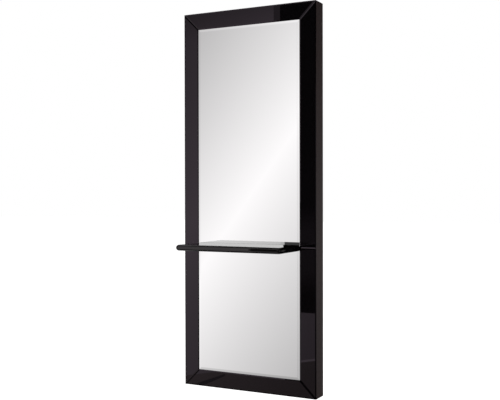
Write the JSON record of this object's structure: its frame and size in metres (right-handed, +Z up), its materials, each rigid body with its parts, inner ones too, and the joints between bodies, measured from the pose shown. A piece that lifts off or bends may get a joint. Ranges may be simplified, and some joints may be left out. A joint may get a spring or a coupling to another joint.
{
  "type": "mirror with shelf",
  "caption": "Tall wall mirror in a mitred black glass border on a deep lacquered box frame, with a gloss black floating shelf, hooked on a bevelled wall cleat.",
  "frame": {"origin": "middle of the underside of the frame's bottom panel, halfway between the wall and the front of the glass", "axes": "+Z up along the mirror's height, +Y towards the wall, so the mirror faces -Y, and +X to the right of someone facing the mirror"},
  "size_m": [0.73, 0.315, 1.9],
  "materials": {
    "lacquer": "satin brown-black lacquer on MDF",
    "raw_board": "bare MDF",
    "plywood": "bare birch plywood",
    "black_glass": "back-painted black glass with ground bevels",
    "mirror": "silvered glass with ground bevels",
    "gloss_black": "polished gloss black lacquer on MDF",
    "steel": "bare mild steel",
    "zinc": "zinc plated",
    "foam_tape": "foam mounting tape"
  },
  "bodies": {
    "wall_cleat": {"wall_cleat": "plywood"},
    "mirror_unit": {"side_panel_left": "lacquer", "side_panel_right": "lacquer", "top_panel": "lacquer", "bottom_panel": "lacquer", "front_board": "raw_board", "glue_block_top_left": "plywood", "glue_block_top_right": "plywood", "glue_block_bottom_left": "plywood", "glue_block_bottom_right": "plywood", "lower_rail": "plywood", "shelf_rail": "plywood", "hanging_rail": "plywood", "frame_cleat": "plywood", "frame_cleat_screw_1": "zinc", "frame_cleat_screw_2": "zinc", "frame_cleat_screw_3": "zinc", "frame_cleat_screw_4": "zinc", "angle_bracket_left": "steel", "angle_bracket_right": "steel", "angle_rail_screw_left_1": "zinc", "angle_rail_screw_left_2": "zinc", "angle_rail_screw_right_1": "zinc", "angle_rail_screw_right_2": "zinc", "angle_side_screw_left_1": "zinc", "angle_side_screw_left_2": "zinc", "angle_side_screw_right_1": "zinc", "angle_side_screw_right_2": "zinc", "border_top": "black_glass", "border_bottom": "black_glass", "border_left_upper": "black_glass", "border_left_lower": "black_glass", "border_right_upper": "black_glass", "border_right_lower": "black_glass", "mirror_upper": "mirror", "mirror_lower": "mirror", "border_tape_top": "foam_tape", "border_tape_bottom": "foam_tape", "border_tape_left_upper": "foam_tape", "border_tape_left_lower": "foam_tape", "border_tape_right_upper": "foam_tape", "border_tape_right_lower": "foam_tape", "mirror_tape_upper_1": "foam_tape", "mirror_tape_upper_2": "foam_tape", "mirror_tape_upper_3": "foam_tape", "mirror_tape_lower_1": "foam_tape", "mirror_tape_lower_2": "foam_tape", "mirror_tape_lower_3": "foam_tape", "shelf_board": "gloss_black", "shelf_support_left": "steel", "shelf_support_right": "steel", "shelf_support_screw_left_1": "zinc", "shelf_support_screw_left_2": "zinc", "shelf_support_screw_right_1": "zinc", "shelf_support_screw_right_2": "zinc", "shelf_lock_screw_left": "steel", "shelf_lock_screw_right": "steel"}
  },
  "joints": [
    {"name": "lift_off", "type": "slide", "parent": "wall_cleat", "child": "mirror_unit", "axis": [0, 0, 1], "range_m": [0, 0.025]}
  ]
}
